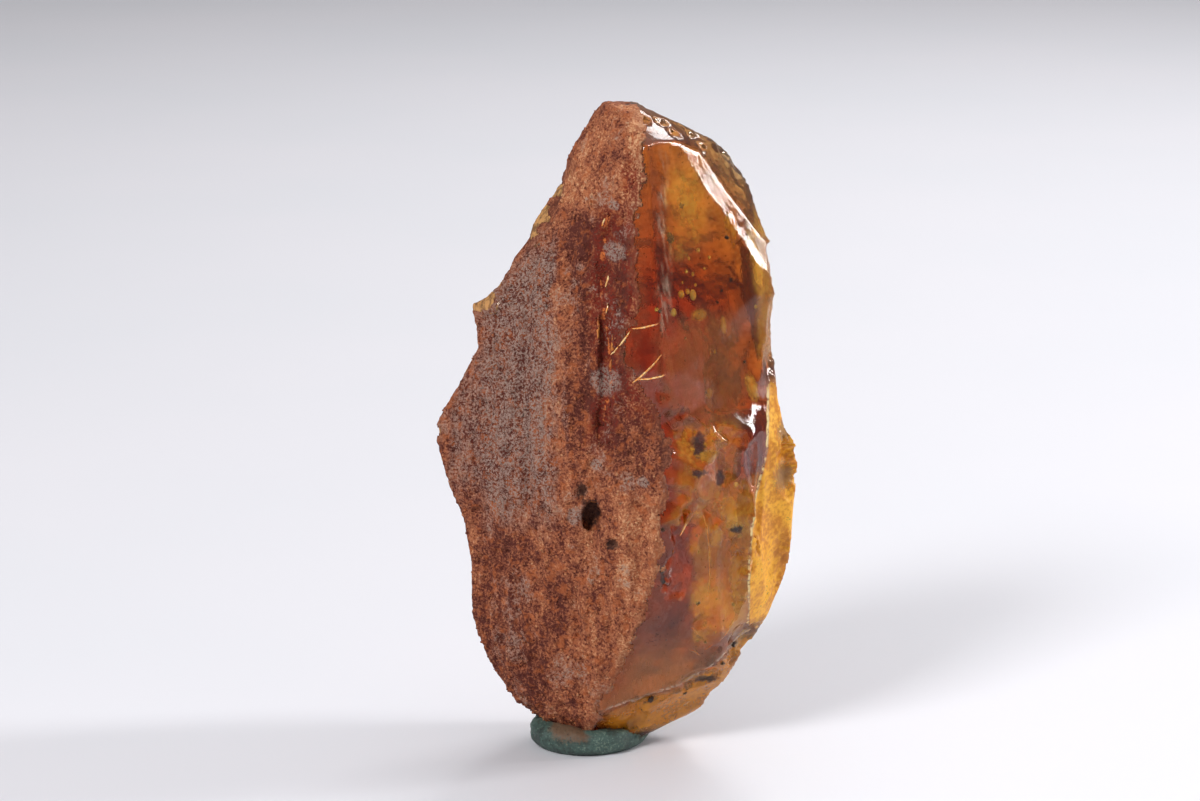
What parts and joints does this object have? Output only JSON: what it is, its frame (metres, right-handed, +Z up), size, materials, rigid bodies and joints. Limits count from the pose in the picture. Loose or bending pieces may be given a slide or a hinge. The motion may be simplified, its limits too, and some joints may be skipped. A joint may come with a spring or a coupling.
{
  "type": "raw amber piece",
  "caption": "Tall raw lump of golden amber with a weathered brown crust on one side and clear chipped faces on the other, standing on a small pad of green putty.",
  "frame": {"origin": "middle of the putty pad's flat underside", "axes": "+Z up along the stone's long way, -Y towards the side with the crust and the clear faces, +X towards the clear right edge"},
  "size_m": [0.0282, 0.0192, 0.0512],
  "materials": {
    "amber": "clear golden resin with broken glossy faces and a grainy brown crust",
    "putty": "soft grey-green putty, matt"
  },
  "bodies": {
    "root": {"amber_piece": "amber", "putty_pad": "putty"}
  },
  "joints": []
}
